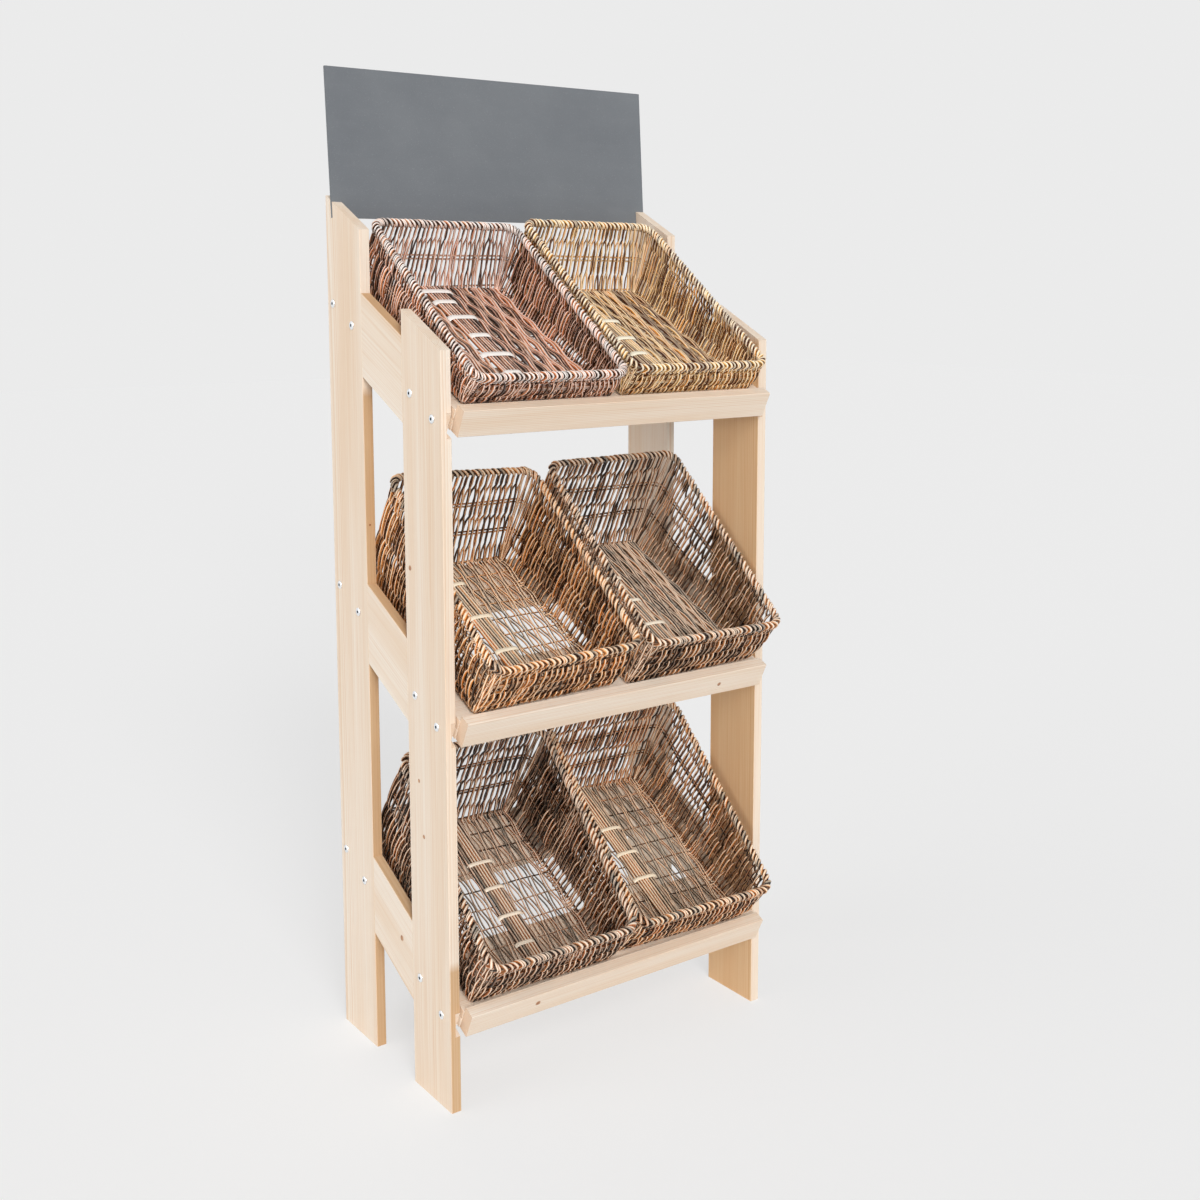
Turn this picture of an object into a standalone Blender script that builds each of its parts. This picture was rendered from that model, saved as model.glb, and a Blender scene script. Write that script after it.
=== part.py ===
"""Tiered display stand with a chalkboard and six baskets, in metres.

X runs across the stand, its front faces -Y and the floor is at zero height.
Each side frame is two posts and three sloping rails. A half-thickness tongue at each end of a rail
lies in an open housing through the post, and bolts hold both to the battens of the shelf inside.
"""

import math
from collections import namedtuple

import bmesh
import bpy
from mathutils import Vector

# Side frames and the planed board that they and the shelves are made of
stand_width = 0.772
stand_depth = 0.450
board_width = 0.145
board_thickness = 0.021
arris = 0.001
slope = math.radians(26)

# Height of the rails' top edges where they would meet the front edge of the posts
bottom_tier_height = 0.259
middle_tier_height = 0.821
top_tier_height = 1.391

# How far the posts' tops, at their own front edges, stand above the top tier's height
front_post_rise = 0.050
back_post_rise = 0.270

# Joints
seat_gap = 0.0003
tongue_height = 0.041
overrun = 0.010

# Shelves, measured square to the slope from the rails' top edges
shelf_drop = 0.045
shelf_overhang = 0.035
shelf_side_play = 0.001
rear_board_setback = 0.034
batten_width = 0.021
batten_height = 0.021
batten_end_margin = 0.015

# Lip along the front of each shelf
lip_thickness = 0.025
lip_height = 0.054
lip_rise = 0.011
lip_side_play = 0.003

# Bolts with low domed heads and a hexagon socket
bolt_head_diameter = 0.017
bolt_head_height = 0.0024
bolt_rim_height = 0.0008
bolt_diameter = 0.006
bolt_bite = 0.014
bolt_socket = 0.004
bolt_socket_depth = 0.0016
bolt_play = 0.0003
bolt_spacing = 0.081
front_bolt_inset = 0.0335
back_bolt_inset = 0.0235
dome_share = 0.66

# How much more the line of bolts climbs than its rail, from its middle to the last bolt
bolt_rise = 0.0045

# Chalkboard, which stands in a slot in the top of each back post
chalkboard_thickness = 0.006
chalkboard_height = 0.295
chalkboard_lean = math.radians(3.7)
slot_depth = 0.032
slot_setback = 0.027
slot_play = 0.0004

# Baskets
basket_side_gap = 0.0143
basket_lip_gap = 0.004
basket_wall = 0.008
basket_floor = 0.012
basket_foot_round = 0.007
basket_corner = 0.026
basket_side_lean = 0.010
basket_belly = 0.004
belly_level_share = 0.5
row_swell = 0.0035
rim_diameter = 0.015

# Back and front heights are to the middle of the rim, and a lean is how far it stands out there. The
# wall swells where the rods pass over the hoops between its rows.
BasketForm = namedtuple("BasketForm", "rows back_gap back_height front_height back_lean front_lean")
shallow_form = BasketForm(
    rows=2, back_gap=0.031, back_height=0.159, front_height=0.074, back_lean=0.014, front_lean=0.014
)
deep_form = BasketForm(
    rows=3, back_gap=0.036, back_height=0.261, front_height=0.1295, back_lean=-0.028, front_lean=0.037
)

# The baskets are made by hand, so the corners of a rim stray from its form. Stray is how far the basket
# stands from the middle of its place, and swing how far its back end goes to +X, as shares of the gap
# beside it.
Corner = namedtuple("Corner", "across along up", defaults=(0, 0, 0))
Basket = namedtuple("Basket", "form stray_share swing_share front_left front_right back_left back_right")
baskets = {
    "top_left": Basket(
        shallow_form._replace(
            back_gap=0.013, back_height=0.1505, front_height=0.071, back_lean=-0.0035, front_lean=0.0285
        ),
        0.07, 0.30, Corner(), Corner(), Corner(), Corner(across=-0.002, up=-0.002),
    ),
    "top_right": Basket(
        shallow_form._replace(front_lean=0.0225),
        -0.42, 0.18, Corner(), Corner(), Corner(), Corner(across=-0.002, up=-0.003),
    ),
    "middle_left": Basket(
        deep_form,
        0.28, -0.30, Corner(across=-0.002), Corner(),
        Corner(across=-0.016, along=0.003, up=0.0015), Corner(across=-0.008, up=-0.014),
    ),
    "middle_right": Basket(
        deep_form,
        0.07, -0.20, Corner(), Corner(along=-0.008, up=-0.0025), Corner(across=-0.007), Corner(),
    ),
    "bottom_left": Basket(
        deep_form,
        -0.14, 0.17, Corner(), Corner(), Corner(across=-0.004), Corner(across=0.004),
    ),
    "bottom_right": Basket(
        deep_form._replace(front_height=0.125, front_lean=0.0405),
        -0.50, 0.52, Corner(up=-0.003), Corner(across=0.006), Corner(across=-0.008), Corner(),
    ),
}

# Detail of the meshes
bolt_sides = 12
corner_steps = 3
rim_steps = 6

inner_half = stand_width / 2 - board_thickness
back_post_depth = stand_depth - board_width
front_post_height = top_tier_height + front_post_rise
back_post_height = top_tier_height + back_post_rise
board_run = board_width * math.tan(slope)
bolt_line = -(shelf_drop + board_thickness + seat_gap + batten_height / 2)
tongue_top = bolt_line + tongue_height / 2
tongue_bottom = bolt_line - tongue_height / 2
shelf_front = -shelf_overhang
basket_rim_half = (2 * inner_half - 3 * basket_side_gap) / 4 - rim_diameter / 2
bolt_depths = (
    front_bolt_inset,
    front_bolt_inset + bolt_spacing,
    stand_depth - back_bolt_inset - bolt_spacing,
    stand_depth - back_bolt_inset,
)


def along(depth, rise):
    """Distance up the slope of the point at this depth behind the posts' front and this rise square to it."""
    return (depth + rise * math.sin(slope)) / math.cos(slope)


def depth_of(distance, rise):
    """Depth behind the posts' front of a point given up the slope and square to it."""
    return distance * math.cos(slope) - rise * math.sin(slope)


def height_of(tier_height, depth, rise):
    """Height of the point at this depth behind the posts' front and this rise square to the slope."""
    return tier_height + depth * math.tan(slope) + rise / math.cos(slope)


def bolt_place(depth):
    """Distance up the slope and rise square to it of the bolt at this depth."""
    middle = (bolt_depths[0] + bolt_depths[-1]) / 2
    rise = bolt_line + bolt_rise * (depth - middle) / (bolt_depths[-1] - middle)
    return along(depth, rise), rise


def basket_length(form):
    """Length of the middle of the wall's foot, from the lip to short of the battens' ends."""
    return batten_end - form.back_gap - shelf_front - basket_lip_gap - basket_wall


def basket_pose(one):
    """The basket's turn on its shelf, and how far up the slope its middle lies."""
    length = basket_length(one.form)
    turn = math.asin(-2 * one.swing_share * basket_side_gap / length)
    foot_half = basket_rim_half - basket_side_lean + basket_wall / 2
    setback = foot_half * abs(math.sin(turn))
    return turn, shelf_front + basket_lip_gap + basket_wall / 2 + length / 2 + setback


def rim_front(one, side, corner):
    """Depth of the rim's foremost point at one end of its front."""
    turn, run = basket_pose(one)
    x = side * basket_rim_half + corner.across
    y = corner.along - basket_length(one.form) / 2 - one.form.front_lean
    distance = run + x * math.sin(turn) + y * math.cos(turn)
    rise = one.form.front_height + corner.up - shelf_drop
    return depth_of(distance, rise) - rim_diameter / 2


bolt_places = tuple(bolt_place(depth) for depth in bolt_depths)
batten_end = along(bolt_depths[-1], bolt_line) + batten_end_margin

# The lower baskets' rims reach furthest forward, and the origin is midway between them and the back
foremost = min(
    min(rim_front(one, -1, one.front_left), rim_front(one, 1, one.front_right))
    for one in baskets.values()
)
posts_front = -(foremost + stand_depth) / 2


def material(name, colour, roughness, metallic=0):
    made = bpy.data.materials.new(name)
    made.use_nodes = True
    shader = made.node_tree.nodes["Principled BSDF"]
    shader.inputs["Base Color"].default_value = (*colour, 1)
    shader.inputs["Roughness"].default_value = roughness
    shader.inputs["Metallic"].default_value = metallic
    made.diffuse_color = (*colour, 1)
    return made


def empty(name, location, tilt):
    made = bpy.data.objects.new(name, None)
    bpy.context.collection.objects.link(made)
    made.location = location
    made.rotation_euler = (tilt, 0, 0)
    return made


def add(name, bm, finish=None, parent=None, location=(0, 0, 0), turn=(0, 0, 0)):
    """Links a new object with this mesh. Without a finish it is a cutter, which only shows as wire."""
    bmesh.ops.recalc_face_normals(bm, faces=bm.faces)
    mesh = bpy.data.meshes.new(name)
    bm.to_mesh(mesh)
    bm.free()
    return place(name, mesh, finish, parent, location, turn)


def place(name, mesh, finish=None, parent=None, location=(0, 0, 0), turn=(0, 0, 0)):
    made = bpy.data.objects.new(name, mesh)
    bpy.context.collection.objects.link(made)
    made.parent = parent
    made.location = location
    made.rotation_euler = turn
    if finish:
        if not mesh.materials:
            mesh.materials.append(finish)
    else:
        made.hide_render = True
        made.display_type = "WIRE"
    return made


def cut(piece, *cutters):
    for cutter in cutters:
        modifier = piece.modifiers.new(cutter.name, "BOOLEAN")
        modifier.operation = "DIFFERENCE"
        modifier.solver = "EXACT"
        modifier.object = cutter


def prism(bm, outline, x_from, x_to):
    """Extrudes an outline in the YZ plane from one X to the other."""
    face = bm.faces.new([bm.verts.new((x_from, y, z)) for y, z in outline])
    swept = bmesh.ops.extrude_face_region(bm, geom=[face])
    moved = [item for item in swept["geom"] if isinstance(item, bmesh.types.BMVert)]
    bmesh.ops.translate(bm, verts=moved, vec=(x_to - x_from, 0, 0))
    bmesh.ops.recalc_face_normals(bm, faces=bm.faces)


def bar(x_from, x_to, y_from, y_to, z_from, z_to):
    """A new mesh with a square-edged bar between these limits."""
    bm = bmesh.new()
    prism(bm, ((y_from, z_from), (y_to, z_from), (y_to, z_to), (y_from, z_to)), x_from, x_to)
    return bm


def corners(bm, axis):
    """The edges along this axis where two faces meet at more than the slope."""
    found = []
    for edge in bm.edges:
        direction = (edge.verts[1].co - edge.verts[0].co).normalized()
        if abs(direction[axis]) > math.cos(slope / 2) and edge.calc_face_angle() > slope:
            found.append(edge)
    return found


def ease(bm, edges):
    bmesh.ops.bevel(bm, geom=edges, offset=arris, segments=1, affect="EDGES")


def holes(places, x_from, x_to):
    """Bolt holes along X at these places in the YZ plane."""
    bm = bmesh.new()
    radius = bolt_diameter / 2 + bolt_play
    for y, z in places:
        ring = [
            (y + radius * math.cos(angle), z + radius * math.sin(angle))
            for angle in (math.tau * step / bolt_sides for step in range(bolt_sides))
        ]
        prism(bm, ring, x_from, x_to)
    return bm


def post(name, side, depth, height, tiers, pine):
    """A post whose foot is at this depth, with a housing and two bolt holes for each rail."""
    bm = bmesh.new()
    half = board_thickness / 2
    prism(bm, ((0, 0), (board_width, 0), (board_width, height + board_run), (0, height)), -half, half)
    ease(bm, corners(bm, 2))
    location = (side * (stand_width / 2 - half), posts_front + depth, 0)
    made = add(name, bm, pine, location=location)
    near = -overrun
    far = board_width + overrun
    housings = bmesh.new()
    places = []
    low = tongue_bottom - seat_gap
    high = tongue_top + seat_gap
    for tier_height in tiers:
        outline = [
            (y, height_of(tier_height, depth + y, rise))
            for y, rise in ((near, low), (far, low), (far, high), (near, high))
        ]
        prism(housings, outline, side * seat_gap / 2, -side * (half + overrun))
        for bolt_depth, (_, rise) in zip(bolt_depths, bolt_places):
            y = bolt_depth - depth
            if 0 < y < board_width:
                places.append((y, height_of(tier_height, bolt_depth, rise)))
    outside = side * (half + overrun)
    bores = holes(places, outside, -side * half / 2)
    cut(
        made,
        add(name + "_housings", housings, location=location),
        add(name + "_holes", bores, location=location),
    )
    return made


def rail(name, side, tier, pine):
    """A sloping board between the posts, with a tongue left at each end of its inner half."""
    bm = bmesh.new()
    front = board_width + seat_gap
    back = stand_depth - board_width - seat_gap
    outline = [(along(front, -board_width), -board_width), (along(back, -board_width), -board_width)]
    outline += [(along(back, 0), 0), (along(front, 0), 0)]
    outer = side * board_thickness / 2
    prism(bm, outline, outer, -outer)
    cheek = -side * seat_gap / 2
    for point, normal in (
        ((cheek, 0, 0), (1, 0, 0)),
        ((0, 0, tongue_bottom), (0, 0, 1)),
        ((0, 0, tongue_top), (0, 0, 1)),
    ):
        everything = bm.verts[:] + bm.edges[:] + bm.faces[:]
        bmesh.ops.bisect_plane(bm, geom=everything, plane_co=point, plane_no=normal)
    bm.normal_update()
    for direction, end in ((-1, along(0, tongue_top)), (1, along(stand_depth, tongue_bottom))):
        root = next(
            face
            for face in bm.faces
            if face.normal.y * direction > 0.5
            and face.calc_center_median().x * side < 0
            and tongue_bottom < face.calc_center_median().z < tongue_top
        )
        tongue = bmesh.ops.extrude_discrete_faces(bm, faces=[root])["faces"][0]
        for vert in tongue.verts:
            vert.co.y = end
    bm.normal_update()
    long_edges = []
    for edge in corners(bm, 1):
        middle = (edge.verts[0].co.z + edge.verts[1].co.z) / 2
        if abs(middle + board_width / 2) > tongue_height:
            long_edges.append(edge)
    ease(bm, long_edges)
    location = (side * (stand_width - board_thickness) / 2, 0, 0)
    made = add(name, bm, pine, tier, location)
    bores = holes(bolt_places, side * board_thickness / 4, -side * (board_thickness / 2 + overrun))
    cut(made, add(name + "_holes", bores, parent=tier, location=location))
    return made


def batten(name, side, tier, pine):
    """The piece on the inner face of a rail that the shelf's boards lie on and the bolts bite into."""
    outer = side * (inner_half - seat_gap)
    inner = outer - side * batten_width
    top = bolt_line + batten_height / 2
    bm = bar(outer, inner, shelf_front + seat_gap, batten_end, top - batten_height, top)
    made = add(name, bm, pine, tier)
    bottom = side * (inner_half - bolt_bite - bolt_play)
    cut(made, add(name + "_holes", holes(bolt_places, outer + side * overrun, bottom), parent=tier))
    return made


def shelf_board(name, front, tier, pine):
    half = inner_half - shelf_side_play
    bm = bar(-half, half, front, front + board_width, -shelf_drop - board_thickness, -shelf_drop)
    ease(bm, corners(bm, 0))
    return add(name, bm, pine, tier)


def lip(name, tier, pine):
    half = inner_half - lip_side_play
    top = lip_rise - shelf_drop
    bm = bar(-half, half, shelf_front - lip_thickness, shelf_front, top - lip_height, top)
    ease(bm, corners(bm, 0))
    return add(name, bm, pine, tier)


def bolt_mesh():
    """A turned bolt along Z with its head above zero. The socket's points lie on a hexagon."""
    bm = bmesh.new()
    shank = board_thickness + seat_gap + bolt_bite
    socket = bolt_socket / 2
    sections = (
        (socket, bolt_head_height - bolt_socket_depth, True),
        (socket, bolt_head_height, True),
        (bolt_head_diameter / 2 * dome_share, bolt_head_height, False),
        (bolt_head_diameter / 2, bolt_rim_height, False),
        (bolt_head_diameter / 2, 0, False),
        (bolt_diameter / 2, 0, False),
        (bolt_diameter / 2, -shank, False),
    )
    flat = math.tau / 6
    rings = []
    for radius, height, hexagon in sections:
        ring = []
        for step in range(bolt_sides):
            angle = math.tau * step / bolt_sides
            reach = radius / math.cos((angle % flat) - flat / 2) if hexagon else radius
            ring.append(bm.verts.new((reach * math.cos(angle), reach * math.sin(angle), height)))
        rings.append(ring)
    skin(bm, rings)
    bmesh.ops.recalc_face_normals(bm, faces=bm.faces)
    mesh = bpy.data.meshes.new("bolt")
    bm.to_mesh(mesh)
    bm.free()
    mesh.shade_smooth()
    mesh.set_sharp_from_angle(angle=slope)
    return mesh


def skin(bm, rings):
    """Joins rings of equally many points in turn and closes the first and the last."""
    for low, high in zip(rings, rings[1:]):
        count = len(low)
        for step in range(count):
            after = (step + 1) % count
            bm.faces.new((low[step], low[after], high[after], high[step]))
    bm.faces.new(rings[0])
    bm.faces.new(rings[-1])


def rim_stray(one, across, share):
    """How far the rim strays at this share of its width and of its length, between its corners."""
    front = Vector(one.front_left).lerp(Vector(one.front_right), across)
    back = Vector(one.back_left).lerp(Vector(one.back_right), across)
    return front.lerp(back, share)


def basket_ring(bm, one, level, outset, lift):
    """One loop round the basket. Level is 0 at the wall's foot and 1 at the middle of the rim."""
    form = one.form
    length = basket_length(form)
    half = basket_rim_half - basket_side_lean * (1 - level)
    front = -length / 2 - form.front_lean * level
    back = length / 2 + form.back_lean * level
    corner = basket_corner + outset
    ring = []
    for x_side, y_side, start in ((1, 1, 0), (-1, 1, 1), (-1, -1, 2), (1, -1, 3)):
        for step in range(corner_steps + 1):
            angle = math.tau / 4 * (start + step / corner_steps)
            x = x_side * (half + outset - corner) + corner * math.cos(angle)
            edge = back + outset if y_side > 0 else front - outset
            y = edge - y_side * corner + corner * math.sin(angle)
            share = (y - front) / (back - front)
            stray = rim_stray(one, (half + outset + x) / (half + outset) / 2, share)
            height = form.front_height + (form.back_height - form.front_height) * share
            point = Vector((x, y, lift)) + level * (stray + Vector((0, 0, height)))
            ring.append(bm.verts.new(point))
    return ring


def basket(name, one, tier, centre, willow):
    """An open tub with a roped rim."""
    bm = bmesh.new()
    half_wall = basket_wall / 2
    rim = rim_diameter / 2
    shoulder = math.acos(half_wall / rim)
    sweep = (math.pi + 2 * shoulder) / rim_steps
    sections = [(0, half_wall - basket_foot_round, 0), (0, half_wall, basket_foot_round)]
    for half_row in range(1, 2 * one.form.rows):
        level = half_row / (2 * one.form.rows)
        belly = basket_belly * (1 - abs(2 * level - 1))
        swell = 0 if half_row % 2 else row_swell
        sections.append((level, half_wall + belly + swell, 0))
    for step in range(rim_steps + 1):
        angle = sweep * step - shoulder
        sections.append((1, rim * math.cos(angle), rim * math.sin(angle)))
    sections += [(belly_level_share, basket_belly - half_wall, 0)]
    sections += [(0, -half_wall, basket_floor + basket_foot_round)]
    sections += [(0, -half_wall - basket_foot_round, basket_floor)]
    skin(bm, [basket_ring(bm, one, *section) for section in sections])
    turn, run = basket_pose(one)
    made = add(name, bm, willow, tier, (centre, run, seat_gap - shelf_drop), (0, 0, turn))
    made.data.shade_smooth()
    made.data.set_sharp_from_angle(angle=slope)
    return made


def clear_scene():
    for old in list(bpy.data.objects):
        bpy.data.objects.remove(old, do_unlink=True)


def build_chalkboard(posts, slate):
    """The board leans back in its slots, which are cut square to it."""
    slot_back = stand_depth - slot_setback
    top = back_post_height + (slot_back - back_post_depth) * math.tan(slope)
    seat = empty("chalkboard_seat", (0, posts_front + slot_back, top - slot_depth), -chalkboard_lean)
    half = stand_width / 2
    half_board = chalkboard_thickness / 2
    board = bar(-half, half, -half_board, half_board, seat_gap, seat_gap + chalkboard_height)
    add("chalkboard", board, slate, seat)
    half_slot = half_board + slot_play
    reach = half + overrun
    slot = bar(-reach, reach, -half_slot, half_slot, 0, slot_depth + board_run)
    slot_cutter = add("chalkboard_slot", slot, parent=seat)
    for back_post in posts:
        cut(back_post, slot_cutter)


def build():
    clear_scene()
    pine = material("pine", (0.78, 0.62, 0.43), 0.55)
    slate = material("slate_paint", (0.12, 0.13, 0.14), 0.7)
    zinc = material("zinc", (0.72, 0.74, 0.76), 0.3, 1)
    sides = (("left", -1), ("right", 1))
    tiers = {
        "bottom": bottom_tier_height,
        "middle": middle_tier_height,
        "top": top_tier_height,
    }
    heights = tiers.values()
    back_posts = []
    for side_name, side in sides:
        post(f"front_{side_name}_post", side, 0, front_post_height, heights, pine)
        name = f"back_{side_name}_post"
        back_posts.append(post(name, side, back_post_depth, back_post_height, heights, pine))
    build_chalkboard(back_posts, slate)

    willow = {
        "top_left": material("willow_brown", (0.20, 0.10, 0.06), 0.6),
        "top_right": material("willow_tan", (0.36, 0.20, 0.09), 0.6),
        "middle_left": material("willow_golden", (0.28, 0.15, 0.07), 0.6),
        "middle_right": material("willow_grey_brown", (0.20, 0.13, 0.09), 0.6),
        "bottom_left": material("willow_dark", (0.17, 0.10, 0.07), 0.6),
        "bottom_right": material("willow_mid_brown", (0.22, 0.13, 0.08), 0.6),
    }
    bolt = bolt_mesh()
    for tier_name, height in tiers.items():
        tier = empty(f"{tier_name}_tier", (0, posts_front, height), slope)
        rear_front = batten_end - rear_board_setback - board_width
        shelf_board(f"{tier_name}_front_shelf_board", shelf_front + seat_gap, tier, pine)
        shelf_board(f"{tier_name}_rear_shelf_board", rear_front, tier, pine)
        lip(f"{tier_name}_lip", tier, pine)
        for side_name, side in sides:
            spot = f"{tier_name}_{side_name}"
            rail(f"{spot}_rail", side, tier, pine)
            batten(f"{spot}_batten", side, tier, pine)
            for number, (run, rise) in enumerate(bolt_places, 1):
                head = (side * (stand_width / 2 + seat_gap), run, rise)
                place(f"{spot}_bolt_{number}", bolt, zinc, tier, head, (0, side * math.tau / 4, 0))
            one = baskets[spot]
            middle = side * (basket_rim_half + rim_diameter / 2 + basket_side_gap / 2)
            centre = middle + one.stray_share * basket_side_gap
            basket(f"{spot}_basket", one, tier, centre, willow[spot])


build()
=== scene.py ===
"""Looks of the tiered display stand: pine boards, chalkboard, zinc bolts and six woven willow baskets.

Lengths are in metres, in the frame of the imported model. The baskets are woven here from single rods,
on the same outline as their solids.
"""

import math
from collections import namedtuple

import bmesh  # noqa: E402
import bpy  # noqa: E402
import numpy as np  # noqa: E402
from mathutils import Matrix, Vector  # noqa: E402


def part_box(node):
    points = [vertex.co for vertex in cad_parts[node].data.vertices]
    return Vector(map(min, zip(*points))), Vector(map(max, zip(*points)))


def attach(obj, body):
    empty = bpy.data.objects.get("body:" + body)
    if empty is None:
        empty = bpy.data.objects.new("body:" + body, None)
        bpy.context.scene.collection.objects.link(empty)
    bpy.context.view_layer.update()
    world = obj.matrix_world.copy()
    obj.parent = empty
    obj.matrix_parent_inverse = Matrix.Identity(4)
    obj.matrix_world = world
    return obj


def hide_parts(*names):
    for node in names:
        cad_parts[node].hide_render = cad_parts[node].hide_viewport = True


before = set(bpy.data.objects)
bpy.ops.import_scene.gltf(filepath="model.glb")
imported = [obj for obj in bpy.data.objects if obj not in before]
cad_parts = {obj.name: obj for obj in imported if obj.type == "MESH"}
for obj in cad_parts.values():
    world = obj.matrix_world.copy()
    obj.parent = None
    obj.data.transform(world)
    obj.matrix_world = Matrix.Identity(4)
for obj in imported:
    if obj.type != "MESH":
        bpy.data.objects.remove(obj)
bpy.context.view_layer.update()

# Camera of the photograph
CAMERA_PLACE = (-1.6749, -2.4491, 1.5578)
CAMERA_PITCH = -0.13046
CAMERA_HEADING = -0.62312
CAMERA_ROLL = -0.00147
CAMERA_LENS = 44.11
SENSOR_WIDTH = 36.0
CAMERA_SHIFT_UP = -0.1032

# Light. The sky is even, and each lamp is a sun, with the direction towards it and its disc's width.
# BACKGROUND_GREY is what background and floor show. FLOOR_GLOW_SHARE of the floor glows to reach it, and
# the matt rest keeps the object's shadow.
BACKGROUND_GREY = 0.922
SKY_LIGHT = 0.32
FLOOR_ALBEDO = 0.85
FLOOR_GLOW_SHARE = 0.6
FLOOR_REACH = 40.0
KEY_TOWARDS = (-0.35, -0.86, 0.22)
KEY_STRENGTH = 1.0
KEY_SPREAD = math.radians(14)
FILL_TOWARDS = (-0.80, 0.10, 0.20)
FILL_STRENGTH = 1.14
FILL_SPREAD = math.radians(55)
TOP_TOWARDS = (-0.25, -0.80, 0.55)
TOP_STRENGTH = 1.3
TOP_SPREAD = math.radians(25)

# Sizes of the stand that place the baskets. A tier's height is that of its sloping frame at the front of
# the posts. SHELF_FRONT and BATTEN_END run up the slope from there, and the shelf boards lie SHELF_DROP
# below the frame.
SLOPE = math.radians(26)
POSTS_FRONT = -0.172819
TIER_HEIGHTS = {"bottom": 0.259, "middle": 0.821, "top": 1.391}
SIDES = {"left": -1, "right": 1}
SHELF_FRONT = -0.035
SHELF_DROP = 0.045
SEAT_GAP = 0.0003
BATTEN_END = 0.452067

# Baskets. SIDE_GAP is between the rims of two neighbours, CORNER and FOOT_CORNER are the radii at the
# rim and at the foot, FOOT_SPREAD is how far the woven foot goes past the solid one on either side,
# BELLY how far the walls swell halfway up, and RIM_HALF half the width between the rims' middles.
SIDE_GAP = 0.0143
LIP_GAP = 0.004
WALL = 0.008
CORNER = 0.026
FOOT_CORNER = 0.007
SIDE_LEAN = 0.010
FOOT_SPREAD = 0.007
BELLY = 0.004
RIM_RADIUS = 0.0075
RIM_HALF = 0.164275
BASKET_SEED = 300

# Hoops is the number of rows between the foot and the rim, and wraps how often the rim is bound
Form = namedtuple("Form", "back_gap back_height front_height back_lean front_lean hoops wraps")
SHALLOW = Form(0.031, 0.159, 0.074, 0.014, 0.014, 2, 154)
DEEP = Form(0.036, 0.261, 0.1295, -0.028, 0.037, 3, 126)

# Rods of the walls. ROD_SHARE, ROD_JITTER and ROD_MEET, by which pairs meet between two hoops, are in
# shares of the rods' pitch. ROW_STEPS are a rod's points between two hoops.
ROD_SIDES = 8
THIN_ROD_SIDES = 6
ROD_SHARE = 0.40
ROD_MEET = 0.27
ROD_JITTER = 0.14
ROD_LEAN = 0.0009
ROD_SPREAD = 0.08
CORNER_CROWDING = 0.62
ROW_STEPS = (0.0, 0.18, 0.33, 0.42, 0.5, 0.58, 0.67, 0.82)
FOOT_RISE = 0.006
FOOT_TUCK = 0.0012
FOOT_TUCK_LEVEL = 0.12
# Ends of a rod under the bottom: how far in from the wall, and how far below the bottom's middle
ROD_TOE = (0.0095, 0.0037)
ROD_HEEL = (0.0035, 0.0029)

# A rod's wave in front of and behind the hoops. Tight rods wave less, over TIGHT_REACH neighbours.
WAVE_DEPTH = 0.0050
WAVE_SQUARENESS = 2.2
WAVE_SPREAD = 0.12
WAVE_AT_FOOT = 0.45
WAVE_AT_RIM = 0.8
TIGHT_REACH = 2.6
TIGHT_LIMIT = 1.15
TIGHT_WAVE = 0.25

# Hoops, two strands each
HOOP_RADIUS = 0.0021
HOOP_STEPS = 168
HOOP_WANDER = 0.010
HOOP_WANDER_REACH = 7
HOOP_SPACING = 0.95
HOOP_TOP_LEVEL = 0.985
# Painted shade on the hoops, which lie between the rods, given as a pale below 0
HOOP_SHADE = -0.35

# Roped rim: the wraps' way round the core, as the angle from straight out and how far it runs along
# the rim, in shares of the pitch
WRAP_SHARE = 0.31
WRAP_ANGLES = np.radians((240, 205, 170, 137, 107, 77, 47, 17, -13, -42, -68, -86))
WRAP_ADVANCE = np.array((-0.78, -0.64, -0.46, -0.24, -0.02, 0.20, 0.40, 0.54, 0.52, 0.32, 0.04, -0.24))
WRAP_ADVANCE_SPREAD = 0.06
WRAP_REACH = 0.0082
WRAP_JITTER = 0.09
WRAP_LIFT = 0.0004
WRAP_SPREAD = 0.05
WRAP_PALE_RANGE = (0.5, 1.2)
# The two halves of a split wrap: their place in shares of the pitch, and their share of its thickness
SPLIT_WRAP = ((-0.20, 0.72), (0.20, 0.72))
# The wrap's end, tucked in below the rim
WRAP_END_OUT = 0.0038
WRAP_END_DROP = 0.0100
WRAP_NECK_DROP = 0.0012
WRAP_END_SHARE = 0.8
RIM_STEPS = 200
RIM_CORE_RADIUS = 0.0030
RIM_CORE_TONE = 0.2
# Painted shade on the core, which shows only in the gaps between the wraps, given as a pale below 0
RIM_CORE_SHADE = -0.7

# Woven bottom, with cross rods, a ribbon of rods on top and pale strips over that. A wobble is how far
# a rod drifts sideways and its pace.
FLOOR_MIDDLE = 0.0066
BOTTOM_INSET = 0.004
END_INSET = 0.003
BOTTOM_ROD_STEPS = 58
BOTTOM_ROD_INSET = 0.002
BOTTOM_ROD_JITTER = 0.0004
BOTTOM_ROD_SPREAD = 0.06
BOTTOM_ROD_WOBBLE = (0.0009, 23)
BOTTOM_SETTLE = 0.02
BOTTOM_SWAY = (0.95, 0.05)
CROSS_PITCH = 0.049
CROSS_RADIUS = 0.0016
CROSS_STEPS = 30
CROSS_DROP = 0.002
CROSS_WOBBLE = (0.0012, 31)
# Painted shade on the cross rods, which lie under the others, given as a pale below 0
CROSS_SHADE = -0.2
RIBBON_PITCH = 0.0066
RIBBON_RADIUS = RIBBON_PITCH * 0.47
RIBBON_RODS = 7
RIBBON_RISE = 0.0034
RIBBON_STEPS = 24
RIBBON_WOBBLE = (0.0006, 17)
RIBBON_WAVE = (0.0004, 29)
STRIP_THICKNESS = 0.0046
STRIP_STEPS = 15
STRIP_OVERHANG = 0.004
STRIP_BEND = 0.0055
STRIP_BEND_POWER = 8
STRIP_WOBBLE = (0.0012, 3)
STRIP_TONE = 0.9


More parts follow.
